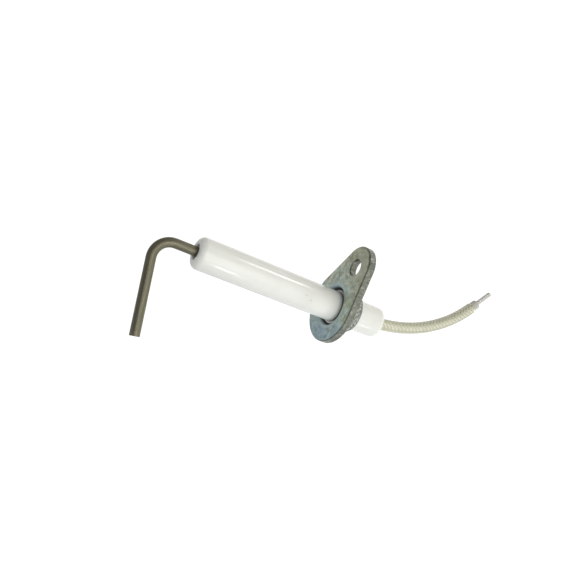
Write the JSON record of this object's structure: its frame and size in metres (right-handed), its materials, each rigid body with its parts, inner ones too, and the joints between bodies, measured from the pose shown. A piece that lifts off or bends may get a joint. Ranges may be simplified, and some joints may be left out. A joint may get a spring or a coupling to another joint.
{
  "type": "ignition electrode",
  "caption": "Bent spark rod in a glazed ceramic tube, crimped in a teardrop screw-on flange, with a flexible braided lead.",
  "frame": {"origin": "where the ceramic tube's axis meets the flange's mounting face", "axes": "+X along the ceramic tube towards the lead, -X towards the burner and the bent rod, +Z from the tube towards the fastening hole"},
  "size_m": [0.128, 0.0331, 0.0465],
  "materials": {
    "heat_resistant_rod": "dull, oxidised",
    "white_glaze": "glossy",
    "zinc_plate": "zinc plated, mottled",
    "sleeve_steel": "knurled",
    "cement": "rough",
    "barrel_metal": "nickel plated",
    "potting": "matt",
    "glass_braid": "woven",
    "silicone": "matt",
    "tinned_copper": "satin"
  },
  "bodies": {
    "electrode": {"electrode_rod": "heat_resistant_rod", "ceramic_tube": "white_glaze", "flange_plate": "zinc_plate", "clamp_sleeve": "sleeve_steel", "front_cement": "cement", "splice_barrel": "barrel_metal", "rear_potting": "potting", "lead_0_braid": "glass_braid", "lead_0_insulation": "silicone", "lead_0_conductor": "tinned_copper"},
    "lead_1": {"lead_1_braid": "glass_braid", "lead_1_insulation": "silicone", "lead_1_conductor": "tinned_copper"},
    "lead_2": {"lead_2_braid": "glass_braid", "lead_2_insulation": "silicone", "lead_2_conductor": "tinned_copper"},
    "lead_3": {"lead_3_braid": "glass_braid", "lead_3_insulation": "silicone", "lead_3_conductor": "tinned_copper"},
    "lead_4": {"lead_4_braid": "glass_braid", "lead_4_insulation": "silicone", "lead_4_conductor": "tinned_copper", "end_ferrule": "tinned_copper"}
  },
  "joints": [
    {"name": "lead_bend", "type": "hinge", "parent": "electrode", "child": "lead_1", "pos_m": [0.02468, 0.00042, 0.00058], "axis": [0, -0.809, 0.5878], "range_deg": [-20, 20]},
    {"name": "lead_sway", "type": "hinge", "parent": "lead_1", "child": "lead_2", "pos_m": [0.03413, 0.00178, 0.00245], "axis": [-0.3173, 0.5574, 0.7672], "range_deg": [-20, 20]},
    {"name": "lead_bend_far", "type": "hinge", "parent": "lead_2", "child": "lead_3", "pos_m": [0.04306, 0.00404, 0.00556], "axis": [0, -0.809, 0.5878], "range_deg": [-20, 20]},
    {"name": "lead_sway_far", "type": "hinge", "parent": "lead_3", "child": "lead_4", "pos_m": [0.05123, 0.00713, 0.00981], "axis": [-0.6088, 0.4663, 0.6418], "range_deg": [-20, 20]}
  ]
}
